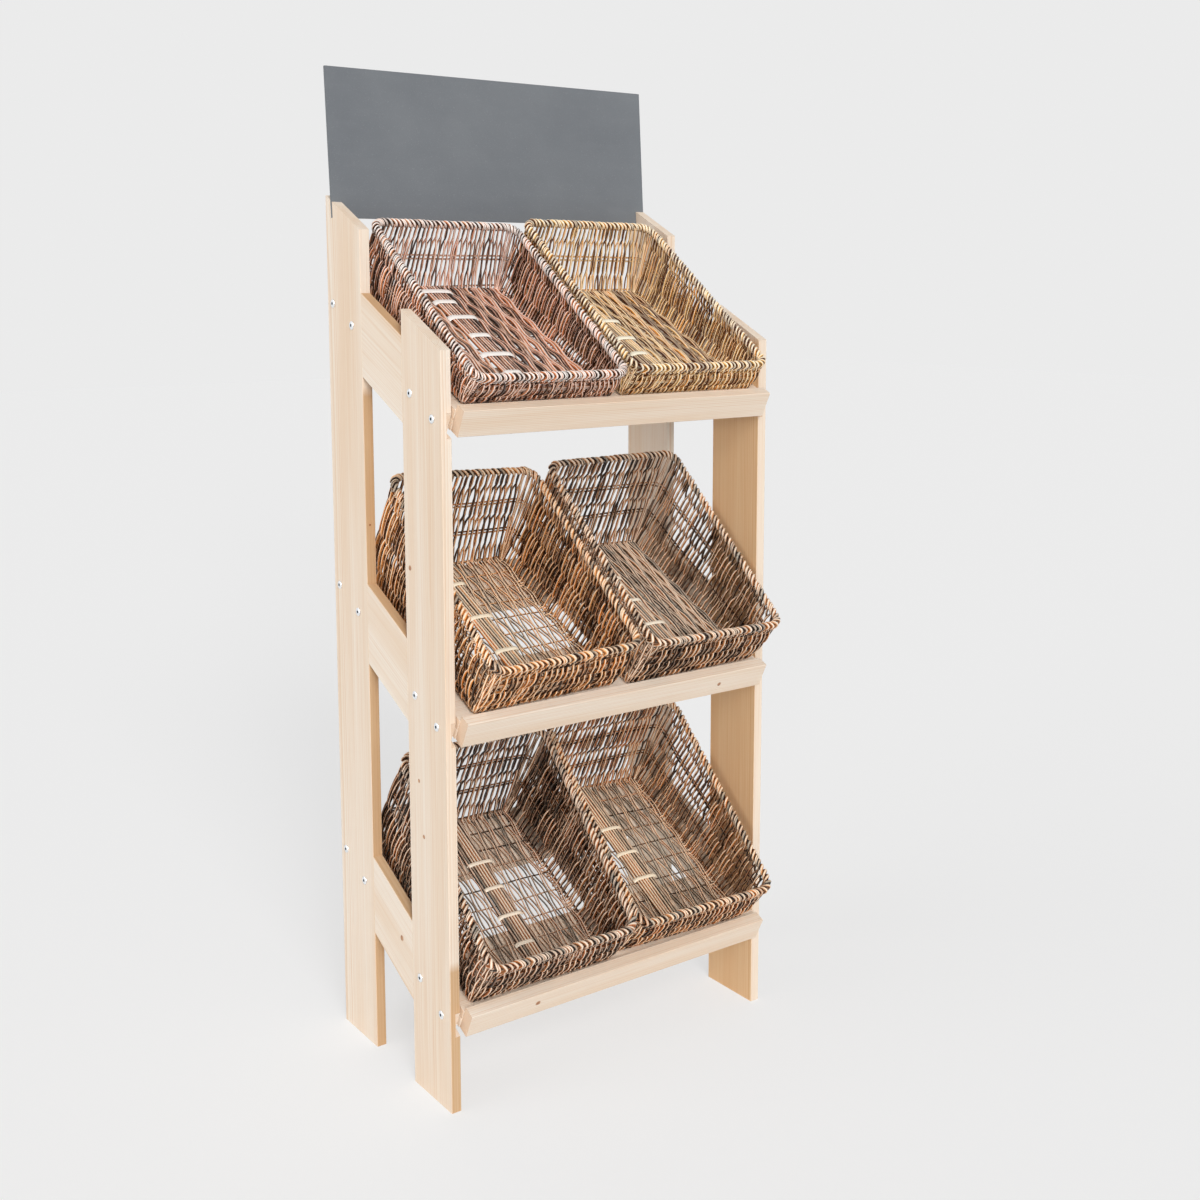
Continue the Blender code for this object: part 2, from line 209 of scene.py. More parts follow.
def linear(red, green, blue):
    """Scene values of a colour given as it shows on a screen, each part from 0 to 255."""
    parts = np.array((red, green, blue), float) / 255
    return tuple(np.where(parts <= 0.04045, parts / 12.92, ((parts + 0.055) / 1.055) ** 2.4))


# Node trees


def node(tree, kind, *values, **settings):
    """Adds a shader node. Values go to its inputs in order, as numbers or as other nodes' outputs."""
    made = tree.nodes.new("ShaderNode" + kind)
    for key, value in settings.items():
        setattr(made, key, value)
    for socket, value in zip(made.inputs, values):
        feed(tree, socket, value)
    return made


def feed(tree, socket, value):
    """Links another node's output to the socket, or sets it to a number, a vector or a colour."""
    if isinstance(value, bpy.types.NodeSocket):
        tree.links.new(value, socket)
    elif socket.type == "RGBA" and len(value) == 3:
        socket.default_value = (*value, 1)
    else:
        socket.default_value = value


def maths(tree, operation, *values, clamp=False):
    return node(tree, "Math", *values, operation=operation, use_clamp=clamp).outputs[0]


def remap(tree, value, low, high, to_low=0.0, to_high=1.0, smooth=False):
    """Takes low to high over to to_low to to_high, and clamps what lies outside."""
    kind = "SMOOTHSTEP" if smooth else "LINEAR"
    made = node(tree, "MapRange", value, low, high, to_low, to_high, interpolation_type=kind)
    return made.outputs[0]


def mixed(tree, share, first, second, blend="MIX"):
    """Colour between first and second."""
    made = tree.nodes.new("ShaderNodeMix")
    made.data_type = "RGBA"
    made.blend_type = blend
    for index, value in ((0, share), (6, first), (7, second)):
        feed(tree, made.inputs[index], value)
    return made.outputs[2]


def noise(tree, vector, scale, detail=2.0, roughness=0.5):
    made = node(tree, "TexNoise", vector)
    made.inputs["Scale"].default_value = scale
    made.inputs["Detail"].default_value = detail
    made.inputs["Roughness"].default_value = roughness
    return made.outputs[0]


def stretched(tree, vector, scale, shift=(0, 0, 0)):
    """The vector with each part scaled, so that a pattern on it has its size over the scale."""
    return node(tree, "Mapping", vector, shift, (0, 0, 0), scale).outputs[0]


def new_material(name):
    """A material with its node tree and its shader."""
    made = bpy.data.materials.new(name)
    made.use_nodes = True
    return made, made.node_tree, made.node_tree.nodes["Principled BSDF"]


def bump(tree, shader, height, distance, strength=1.0):
    made = tree.nodes.new("ShaderNodeBump")
    made.inputs["Strength"].default_value = strength
    made.inputs["Distance"].default_value = distance
    feed(tree, made.inputs["Height"], height)
    tree.links.new(made.outputs[0], shader.inputs["Normal"])


# Pine

# Directions along the grain, across it and through the board
GRAIN_AXES = {
    "upright": ((0, 0, 1), (0, 1, 0), (1, 0, 0)),
    "sloping": (
        (0, math.cos(SLOPE), math.sin(SLOPE)),
        (0, -math.sin(SLOPE), math.cos(SLOPE)),
        (1, 0, 0),
    ),
    "lip": (
        (1, 0, 0),
        (0, -math.sin(SLOPE), math.cos(SLOPE)),
        (0, math.cos(SLOPE), math.sin(SLOPE)),
    ),
}
SAPWOOD = linear(243, 231, 216)
HEARTWOOD = linear(236, 215, 192)
LATEWOOD = linear(218, 178, 138)
# Tints of painted shade, orange as by light bounced off the baskets, for faces that the stand and the
# baskets shade
BOUNCE_SHADE_TINT = (1.0, 0.80, 0.56)
DEEP_SHADE_TINT = (0.72, 0.56, 0.39)
END_GRAIN = linear(222, 192, 164)
KNOT = linear(152, 100, 70)
KNOT_RIM = linear(206, 160, 120)
RING_WIDTH = 0.0031
RING_SHARE = {"upright": 0.62, "sloping": 0.3, "lip": 0.62}
# Reach of the log's middle from the board's, across and through the board
PITH_ACROSS = (0.02, 0.10)
PITH_THROUGH = (0.03, 0.08)
# Scales of the patterns along the grain, across it and through the board
DRIFT_SCALE = (0.7, 3, 3)
WAVER_SCALE = (5, 40, 40)
PATCH_SCALE = (1.1, 22, 22)
FIBRE_SCALE = (9, 1100, 1100)
STREAK_SCALE = (2.5, 260, 260)
DRIFT_DEPTH = 0.012
WAVER_DEPTH = 0.0012
KNOT_SWERVE = 1.6
KNOT_FADE = -0.55
# Height over which the painted shade on a shaded side fades out at its top
SHADE_FADE = 0.02
BOARD_SEED = 40


def pine(name, grain, centre, rng, knots=(), shaded_side=None):
    """Planed pine whose year rings are cut from a log that lies beside the board.

    Knots are given as a place in the model and a radius. The shaded side is the direction of a side with
    painted shade, tinted orange as by light bounced off the baskets, with the height up to which it is
    painted and its tint.
    """
    made, tree, shader = new_material(name)
    place = node(tree, "TexCoord").outputs["Object"]
    axes = GRAIN_AXES[grain]
    run, wide, thick = (
        node(tree, "VectorMath", place, axis, operation="DOT_PRODUCT").outputs["Value"]
        for axis in axes
    )
    middle = [float(Vector(axis).dot(centre)) for axis in axes]
    pith_wide = middle[1] + rng.choice((-1, 1)) * rng.uniform(*PITH_ACROSS)
    pith_thick = middle[2] + rng.choice((-1, 1)) * rng.uniform(*PITH_THROUGH)
    straight = node(tree, "CombineXYZ", run, wide, thick).outputs[0]
    shift = tuple(rng.uniform(-9, 9, 3))
    drift = noise(tree, stretched(tree, straight, DRIFT_SCALE, shift), 1.0, 1.0)
    waver = noise(tree, stretched(tree, straight, WAVER_SCALE, shift), 1.0, 2.0)
    across = maths(tree, "SUBTRACT", wide, pith_wide)
    through = maths(tree, "SUBTRACT", thick, pith_thick)
    radius = maths(
        tree,
        "SQRT",
        maths(tree, "ADD", maths(tree, "POWER", across, 2.0), maths(tree, "POWER", through, 2.0)),
    )
    radius = maths(tree, "MULTIPLY_ADD", drift, DRIFT_DEPTH, radius)
    radius = maths(tree, "MULTIPLY_ADD", waver, WAVER_DEPTH, radius)
    knot_share = None
    for knot_place, knot_radius in knots:
        away = node(tree, "VectorMath", place, knot_place, operation="SUBTRACT").outputs[0]
        far = node(tree, "VectorMath", away, operation="LENGTH").outputs["Value"]
        near = maths(tree, "DIVIDE", far, knot_radius)
        swerve = maths(tree, "EXPONENT", maths(tree, "MULTIPLY", near, KNOT_FADE))
        radius = maths(tree, "MULTIPLY_ADD", swerve, knot_radius * KNOT_SWERVE, radius)
        share = remap(tree, near, 0.65, 1.15, 1.0, 0.0, smooth=True)
        knot_share = share if knot_share is None else maths(tree, "MAXIMUM", knot_share, share)
    turn = maths(tree, "DIVIDE", radius, RING_WIDTH)
    ring = maths(tree, "FRACT", turn)
    year = node(tree, "CombineXYZ", maths(tree, "FLOOR", turn), *shift[:2]).outputs[0]
    strength = noise(tree, year, 1.7)
    late = maths(
        tree,
        "MULTIPLY",
        remap(tree, ring, 0.45, 0.93, smooth=True),
        remap(tree, ring, 1.0, 0.95),
    )
    late = maths(tree, "MULTIPLY", late, remap(tree, strength, 0.3, 0.7, 0.15, 1.0))
    patch = noise(tree, stretched(tree, straight, PATCH_SCALE, shift), 1.0, 3.0)
    fibre = noise(tree, stretched(tree, straight, FIBRE_SCALE, shift), 1.0, 3.0, 0.6)
    streak = noise(tree, stretched(tree, straight, STREAK_SCALE, shift), 1.0, 2.0, 0.6)
    colour = mixed(tree, remap(tree, patch, 0.35, 0.7), SAPWOOD, HEARTWOOD)
    colour = mixed(tree, maths(tree, "MULTIPLY", late, RING_SHARE[grain]), colour, LATEWOOD)
    colour = mixed(tree, remap(tree, streak, 0.55, 0.8, 0.0, 0.45), colour, LATEWOOD)
    colour = mixed(tree, remap(tree, fibre, 0.45, 0.8, 0.0, 0.3), colour, LATEWOOD)
    if knot_share is not None:
        speckle = remap(tree, noise(tree, place, 240.0, 3.0), 0.35, 0.65)
        colour = mixed(tree, knot_share, colour, mixed(tree, speckle, KNOT, KNOT_RIM))
    normal = node(tree, "TexCoord").outputs["Normal"]
    if grain == "lip":
        facing = node(tree, "VectorMath", normal, axes[0], operation="DOT_PRODUCT").outputs["Value"]
        sawn = remap(tree, maths(tree, "ABSOLUTE", facing), 0.6, 0.9)
        pores = remap(tree, noise(tree, place, 900.0, 2.0), 0.3, 0.7, 0.7, 1.0)
        colour = mixed(tree, maths(tree, "MULTIPLY", sawn, pores), colour, END_GRAIN)
    # Painted shade on the side that the stand and the baskets shade, tinted orange as by light they
    # bounce, up to its top
    if shaded_side is not None:
        side, top, tint = shaded_side
        facing = node(tree, "VectorMath", normal, side, operation="DOT_PRODUCT").outputs["Value"]
        upright = node(tree, "SeparateXYZ", place).outputs["Z"]
        below = remap(tree, upright, top, top - SHADE_FADE)
        warm = maths(tree, "MULTIPLY", remap(tree, facing, 0.6, 0.9), below)
        colour = mixed(tree, warm, colour, tint, blend="MULTIPLY")
    tree.links.new(colour, shader.inputs["Base Color"])
    rough = remap(tree, late, 0.0, 1.0, 0.62, 0.48)
    tree.links.new(rough, shader.inputs["Roughness"])
    shader.inputs["Specular IOR Level"].default_value = 0.35
    height = maths(tree, "MULTIPLY_ADD", late, 0.6, maths(tree, "MULTIPLY", fibre, 0.8))
    bump(tree, shader, height, 0.00012, 0.6)
    return made


# Chalkboard paint

SLATE_DARK = linear(108, 112, 117)
SLATE_LIGHT = linear(121, 125, 129)
SLATE_WIPED = linear(126, 130, 133)
CHALK_DUST = linear(168, 171, 172)


def slate():
    made, tree, shader = new_material("slate_paint_chalked")
    place = node(tree, "TexCoord").outputs["Object"]
    cloud = noise(tree, place, 5.0, 6.0, 0.62)
    smear = noise(tree, stretched(tree, place, (9, 9, 34)), 1.0, 5.0, 0.6)
    dust = noise(tree, place, 620.0, 2.0, 0.6)
    base = mixed(tree, remap(tree, cloud, 0.25, 0.75), SLATE_DARK, SLATE_LIGHT)
    wiped = remap(tree, smear, 0.5, 0.78, 0.0, 0.25)
    base = mixed(tree, wiped, base, SLATE_WIPED)
    base = mixed(tree, remap(tree, dust, 0.62, 0.78, 0.0, 0.55), base, CHALK_DUST)
    tree.links.new(base, shader.inputs["Base Color"])
    tree.links.new(remap(tree, cloud, 0.3, 0.7, 0.62, 0.8), shader.inputs["Roughness"])
    shader.inputs["Specular IOR Level"].default_value = 0.3
    bump(tree, shader, dust, 0.00008, 0.5)
    return made


# Zinc plated bolts

BOLT_SIDES = 48
HEAD_RADIUS = 0.0085
HEAD_HEIGHT = 0.0024
HEAD_RIM = 0.0006
SHANK_RADIUS = 0.003
SHANK_LENGTH = 0.035
SOCKET_RADIUS = 0.0024
SOCKET_DEPTH = 0.0018
SOCKET_CHAMFER = 1.12
DOME_START = 1.35
DOME_STEPS = 7
DOME_POWER = 2.4
SMOOTH_BOLT_ANGLE = math.radians(35)
ZINC_DARK = linear(236, 240, 244)
ZINC_LIGHT = linear(252, 253, 254)
SOCKET_SHADE = linear(58, 72, 84)


def zinc():
    made, tree, shader = new_material("zinc_plated")
    place = node(tree, "TexCoord").outputs["Object"]
    cloud = noise(tree, place, 260.0, 3.0)
    shader.inputs["Metallic"].default_value = 1.0
    colour = mixed(tree, cloud, ZINC_DARK, ZINC_LIGHT)
    flat = node(tree, "VectorMath", place, (1, 1, 0), operation="MULTIPLY").outputs[0]
    off_axis = node(tree, "VectorMath", flat, operation="LENGTH").outputs["Value"]
    socket = remap(tree, off_axis, SOCKET_RADIUS * SOCKET_CHAMFER, SOCKET_RADIUS * 1.3, 1.0, 0.0)
    colour = mixed(tree, socket, colour, SOCKET_SHADE)
    tree.links.new(colour, shader.inputs["Base Color"])
    tree.links.new(remap(tree, cloud, 0.3, 0.7, 0.20, 0.36), shader.inputs["Roughness"])
    bump(tree, shader, noise(tree, place, 1800.0, 2.0), 0.00003, 0.4)
    return made


def bolt_mesh(finish):
    """A furniture bolt along Z, its low dome above zero, with a hexagon socket."""
    flat = math.tau / 6
    profile = [
        (0.0004, HEAD_HEIGHT - SOCKET_DEPTH, True),
        (SOCKET_RADIUS * 0.97, HEAD_HEIGHT - SOCKET_DEPTH, True),
        (SOCKET_RADIUS, HEAD_HEIGHT - 0.0002, True),
        (SOCKET_RADIUS * SOCKET_CHAMFER, HEAD_HEIGHT, True),
    ]
    inner = SOCKET_RADIUS * DOME_START
    for step in range(DOME_STEPS + 1):
        share = step / DOME_STEPS
        radius = inner + (HEAD_RADIUS - inner) * math.sin(share * math.pi / 2)
        height = HEAD_RIM + (HEAD_HEIGHT - HEAD_RIM) * (1 - share**DOME_POWER)
        profile.append((radius, height, False))
    profile += [(HEAD_RADIUS, 0.0001, False), (HEAD_RADIUS - 0.0002, 0, False)]
    profile += [(SHANK_RADIUS, 0, False), (SHANK_RADIUS, -SHANK_LENGTH, False)]
    bm = bmesh.new()
    rings = []
    for radius, height, hexagon in profile:
        ring = []
        for step in range(BOLT_SIDES):
            angle = math.tau * step / BOLT_SIDES
            reach = radius / math.cos((angle % flat) - flat / 2) if hexagon else radius
            ring.append(bm.verts.new((reach * math.cos(angle), reach * math.sin(angle), height)))
        rings.append(ring)
    for low, high in zip(rings, rings[1:]):
        for step in range(BOLT_SIDES):
            after = (step + 1) % BOLT_SIDES
            bm.faces.new((low[step], low[after], high[after], high[step]))
    bm.faces.new(rings[0])
    bm.faces.new(rings[-1])
    bmesh.ops.recalc_face_normals(bm, faces=bm.faces)
    mesh = bpy.data.meshes.new("furniture_bolt")
    bm.to_mesh(mesh)
    bm.free()
    mesh.shade_smooth()
    mesh.set_sharp_from_angle(angle=SMOOTH_BOLT_ANGLE)
    mesh.materials.append(finish)
    return mesh


def place_bolts(finish):
    """Puts a bolt in the place of each solid one, its socket turned differently each time."""
    mesh = bolt_mesh(finish)
    for name in sorted(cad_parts):
        if "_bolt_" not in name:
            continue
        low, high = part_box(name)
        side = -1 if low.x < 0 else 1
        head_top = low.x if side < 0 else high.x
        made = bpy.data.objects.new(name.replace("_bolt_", "_furniture_bolt_"), mesh)
        bpy.context.scene.collection.objects.link(made)
        spin = sum(map(ord, name)) * 0.7
        seat = Vector((head_top - side * HEAD_HEIGHT, (low.y + high.y) / 2, (low.z + high.z) / 2))
        made.matrix_world = (
            Matrix.Translation(seat)
            @ Matrix.Rotation(side * math.tau / 4, 4, "Y")
            @ Matrix.Rotation(spin, 4, "Z")
        )
        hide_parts(name)
        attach(made, "stand")


# Woven willow

# Radius at which the bark's pattern lies round every rod
BARK_RADIUS = 0.0025
SMOOTH_ROD_ANGLE = math.radians(70)


class Strands:
    """Gathers round rods into one mesh, with what the willow material reads about each of them.

    Lay is the place on the bark, tone differs from rod to rod, pale is how light a rod is, which on the
    crests also sets a painted highlight, and below 0 how much painted shade it gets, and crest_light is
    painted light across a rod, 1 on its two crests and 0 on its flanks, where painted shade falls.
    """

    def __init__(self):
        self.points = []
        self.faces = []
        self.lay = []
        self.tone = []
        self.pale = []
        self.crest_light = []
        self.count = 0

    def add(self, path, outward, radius, tone, pale, sides=ROD_SIDES, closed=False, squeeze=1.0):
        """A rod along path. Outward gives the direction that squeeze flattens it in.

        A squeezed rod is a peeled strip, light all round.
        """
        path = np.asarray(path, float)
        steps = len(path)
        if closed:
            tangent = np.roll(path, -1, 0) - np.roll(path, 1, 0)
        else:
            tangent = np.gradient(path, axis=0)
        tangent /= np.linalg.norm(tangent, axis=1, keepdims=True)
        outward = np.broadcast_to(np.asarray(outward, float), path.shape)
        side = np.cross(tangent, outward)
        side /= np.linalg.norm(side, axis=1, keepdims=True)
        up = np.cross(side, tangent)
        radius = np.broadcast_to(np.asarray(radius, float), steps)
        angle = math.tau * np.arange(sides) / sides
        reach = radius[:, None, None]
        ring = path[:, None] + reach * (
            np.cos(angle)[None, :, None] * side[:, None]
            + squeeze * np.sin(angle)[None, :, None] * up[:, None]
        )
        start = self.count
        self.points.append(ring.reshape(-1, 3))
        self.count += steps * sides
        length = np.concatenate(([0], np.cumsum(np.linalg.norm(np.diff(path, axis=0), axis=1))))
        lay = np.empty((steps, sides, 3))
        lay[..., 0] = length[:, None]
        lay[..., 1] = (np.cos(angle) * BARK_RADIUS)[None]
        lay[..., 2] = (np.sin(angle) * BARK_RADIUS)[None] + tone
        self.lay.append(lay.reshape(-1, 3))
        self.tone.append(np.full(steps * sides, tone))
        self.pale.append(np.full(steps * sides, pale))
        # Painted light across the rod: 1 on the two crests, 0 on the flanks where painted shade falls
        # between neighbours; a strip gets 1 all round
        crest_light = np.abs(np.sin(angle)) if squeeze == 1.0 else np.ones(sides)
        self.crest_light.append(np.tile(crest_light, steps))
        spans = steps if closed else steps - 1
        row = np.arange(spans)[:, None]
        column = np.arange(sides)[None]
        after_row = (row + 1) % steps
        after_column = (column + 1) % sides
        quads = np.stack(
            (
                row * sides + column,
                after_row * sides + column,
                after_row * sides + after_column,
                row * sides + after_column,
            ),
            axis=-1,
        ).reshape(-1, 4)
        self.faces += (quads + start).tolist()
        if not closed:
            self.faces.append(list(range(start, start + sides)))
            last = start + (steps - 1) * sides
            self.faces.append(list(range(last + sides - 1, last - 1, -1)))

    def mesh(self, name, finish):
        made = bpy.data.meshes.new(name)
        made.from_pydata(np.concatenate(self.points).tolist(), [], self.faces)
        for label, kind, values in (
            ("lay", "FLOAT_VECTOR", self.lay),
            ("tone", "FLOAT", self.tone),
            ("pale", "FLOAT", self.pale),
            ("crest_light", "FLOAT", self.crest_light),
        ):
            attribute = made.attributes.new(label, kind, "POINT")
            field = "vector" if kind == "FLOAT_VECTOR" else "value"
            data = np.concatenate(values).astype(np.float32).ravel()
            attribute.data.foreach_set(field, data)
        made.shade_smooth()
        made.set_sharp_from_angle(angle=SMOOTH_ROD_ANGLE)
        made.materials.append(finish)
        made.validate()
        return made


def foot_length(form):
    """Length of the basket's foot from front to back, between the middles of its walls."""
    return BATTEN_END - form.back_gap - SHELF_FRONT - LIP_GAP - WALL


def rim_spans(form):
    """Lengths of the rim's straight sides and corners in turn, from the left end of its front."""
    run = foot_length(form) + form.front_lean + form.back_lean
    turn = CORNER * math.pi / 2
    return np.array((2 * (RIM_HALF - CORNER), turn, run - 2 * CORNER, turn) * 2)


def wall(basket, around, level, off):
    """Points of the wall's middle surface moved outwards by off, and the outward directions.

    Around runs from 0 to 1 along the rim, from the left end of the front and to the right. Level is
    0 at the foot and 1 at the middle of the rim.
    """
    form = basket.form
    around, level, off = np.broadcast_arrays(
        np.asarray(around, float) % 1, np.asarray(level, float), np.asarray(off, float)
    )
    length = foot_length(form)
    ends = np.concatenate(([0], np.cumsum(rim_spans(form))))
    ends /= ends[-1]
    span = np.clip(np.searchsorted(ends, around, side="right") - 1, 0, len(ends) - 2)
    share = (around - ends[span]) / (ends[span + 1] - ends[span])
    turn = FOOT_CORNER + (CORNER - FOOT_CORNER) * level
    inside = RIM_HALF - (SIDE_LEAN - FOOT_SPREAD) * (1 - level) - turn
    front = -length / 2 - form.front_lean * level
    back = length / 2 + form.back_lean * level
    centre_x = np.stack([inside, inside, -inside, -inside])
    centre_y = np.stack([front + turn, back - turn, back - turn, front + turn])
    corner = span // 2
    before = (corner - 1) % 4
    straight = span % 2 == 0
    place = np.arange(span.size).reshape(span.shape)
    flat_x = centre_x.reshape(4, -1)
    flat_y = centre_y.reshape(4, -1)
    to_x, to_y = flat_x[corner, place], flat_y[corner, place]
    from_x, from_y = flat_x[before, place], flat_y[before, place]
    mix = np.where(straight, share, 1.0)
    angle = math.pi / 2 * (corner - 1 + np.where(straight, 0.0, share))
    out_x, out_y = np.cos(angle), np.sin(angle)
    bulge = off + BELLY * (1 - (2 * level - 1) ** 2)
    x = from_x + (to_x - from_x) * mix + (turn + bulge) * out_x
    y = from_y + (to_y - from_y) * mix + (turn + bulge) * out_y
    depth = np.clip((y - front) / (back - front), -0.05, 1.05)
    height = form.front_height + (form.back_height - form.front_height) * depth
    z = FOOT_RISE + level * (height - FOOT_RISE)
    across = np.clip(0.5 + x / (2 * (inside + turn)), 0, 1)[..., None]
    depth = depth[..., None]
    front_stray = (1 - across) * basket.front_left + across * basket.front_right
    back_stray = (1 - across) * basket.back_left + across * basket.back_right
    stray = (1 - depth) * front_stray + depth * back_stray
    points = np.stack([x, y, z], -1) + level[..., None] * stray
    return points, np.stack([out_x, out_y, np.zeros_like(out_x)], -1)


def smooth_noise(rng, count, reach):
    """Random values in a closed row that change over about this many places."""
    raw = rng.standard_normal(count)
    kernel = np.exp(-0.5 * (np.minimum(np.arange(count), count - np.arange(count)) / reach) ** 2)
    made = np.real(np.fft.ifft(np.fft.fft(raw) * np.fft.fft(kernel)))
    return made / made.std()


def corner_nearness(form, around):
    """1 in the middle of the rim's corners and falling to 0 along its sides."""
    spans = rim_spans(form)
    ends = np.concatenate(([0], np.cumsum(spans)))
    middles = (ends[1::2] + ends[2::2]) / 2
    far = np.abs(around[:, None] * ends[-1] - middles[None])
    return np.exp(-((far.min(axis=1) / CORNER) ** 2))


def weave_walls(strands, basket, rng):
    """Upright rods that meet in pairs between the hoops, and the hoops."""
    form = basket.form
    rods = 2 * form.wraps
    rows = np.concatenate([row + np.array(ROW_STEPS) for row in range(form.hoops)] + [[form.hoops]])
    levels = rows / form.hoops
    wave = np.tanh(WAVE_SQUARENESS * np.cos(math.pi * rows)) / math.tanh(WAVE_SQUARENESS)
    places = (np.arange(rods) + 0.5 + rng.uniform(-ROD_JITTER, ROD_JITTER, rods)) / rods
    crowding = 1 - CORNER_CROWDING * corner_nearness(form, places)
    thickness = ROD_SHARE * rim_spans(form).sum() / rods
    meeting = ROD_MEET * np.sin(math.pi * rows) ** 2 / rods
    hold = np.empty((rods, form.hoops + 1))
    for hoop in range(form.hoops + 1):
        tight = smooth_noise(rng, rods, TIGHT_REACH)
        held = np.where(tight > TIGHT_LIMIT, TIGHT_WAVE, 1.0)
        hold[:, hoop] = held * rng.normal(1.0, WAVE_SPREAD, rods) * crowding
    hold[:, 0] *= WAVE_AT_FOOT
    hold[:, -1] *= WAVE_AT_RIM
    for rod in range(rods):
        lean = rng.normal(0, ROD_LEAN)
        around = places[rod] + lean * np.sin(math.pi * rows * 0.5 + rng.uniform(0, 6))
        partner = np.where((np.floor(rows) + rod) % 2 < 1, 1, -1)
        around = around + partner * meeting
        depth = np.interp(rows, np.arange(form.hoops + 1), hold[rod])
        sway = WAVE_DEPTH * depth * wave * (1 if rod % 2 else -1)
        tuck = -FOOT_TUCK * (1 - np.clip(levels / FOOT_TUCK_LEVEL, 0, 1))
        points, outward = wall(basket, around, levels, sway + tuck)
        ends = []
        for inwards, drop in (ROD_TOE, ROD_HEEL):
            end = points[:1] - outward[:1] * inwards
            end[0, 2] = FLOOR_MIDDLE - drop
            ends.append(end)
        points = np.concatenate((*ends, points))
        outward = np.concatenate((outward[:1], outward[:1], outward))
        hint = outward.copy()
        hint[0] = (0, 0, -1)
        hint[1] = (outward[1] + np.array((0, 0, -1))) / math.sqrt(2)
        radius = thickness * rng.normal(1.0, ROD_SPREAD)
        strands.add(points, hint, radius, rng.random(), 0.0)
    around = np.arange(HOOP_STEPS) / HOOP_STEPS
    for hoop in range(form.hoops + 1):
        middle = hoop / form.hoops + HOOP_WANDER * smooth_noise(rng, HOOP_STEPS, HOOP_WANDER_REACH)
        for aside in (-1, 1):
            level = middle + aside * HOOP_RADIUS * HOOP_SPACING / form.front_height
            level = np.clip(level, 0.0, HOOP_TOP_LEVEL)
            points, outward = wall(basket, around, level, 0.0)
            tone = rng.random()
            strands.add(points, outward, HOOP_RADIUS, tone, HOOP_SHADE, THIN_ROD_SIDES, closed=True)


def rope_rim(strands, basket, rng):
    """A core with slanting wraps round it, some of them split in two."""
    form = basket.form
    around = np.arange(RIM_STEPS) / RIM_STEPS
    points, outward = wall(basket, around, 1.0, 0.0)
    strands.add(points, outward, RIM_CORE_RADIUS, RIM_CORE_TONE, RIM_CORE_SHADE, closed=True)
    pitch = 1 / form.wraps
    full = WRAP_SHARE * rim_spans(form).sum() / form.wraps
    for wrap in range(form.wraps):
        start = (wrap + 0.5 + rng.uniform(-WRAP_JITTER, WRAP_JITTER)) * pitch
        lift = rng.normal(0, WRAP_LIFT)
        bundle = ((0.0, 1.0),)
        if rng.random() < basket.split_share:
            bundle = SPLIT_WRAP
        for aside, share in bundle:
            thick = full * share * rng.normal(1.0, WRAP_SPREAD)
            reach = WRAP_REACH - thick + lift
            places = start + pitch * (WRAP_ADVANCE * rng.normal(1.0, WRAP_ADVANCE_SPREAD) + aside)
            base, outward = wall(basket, places, 1.0, 0.0)
            away = outward * (np.cos(WRAP_ANGLES) * reach)[:, None]
            away[:, 2] += np.sin(WRAP_ANGLES) * reach
            away[-1] = outward[-1] * WRAP_END_OUT
            away[-1, 2] -= WRAP_END_DROP
            away[-2, 2] -= WRAP_NECK_DROP
            hint = outward * np.cos(WRAP_ANGLES)[:, None]
            hint[:, 2] += np.sin(WRAP_ANGLES)
            hint[-1] = outward[-1]
            radius = np.full(len(places), thick)
            radius[-1] *= WRAP_END_SHARE
            pale = basket.rim_pale * rng.uniform(*WRAP_PALE_RANGE)
            strands.add(base + away, hint, radius, rng.random(), pale)


def wobble(kind, along, phase=0.0):
    """Slow drift of a rod to one side and the other."""
    depth, pace = kind
    return depth * np.sin(along * pace + phase)


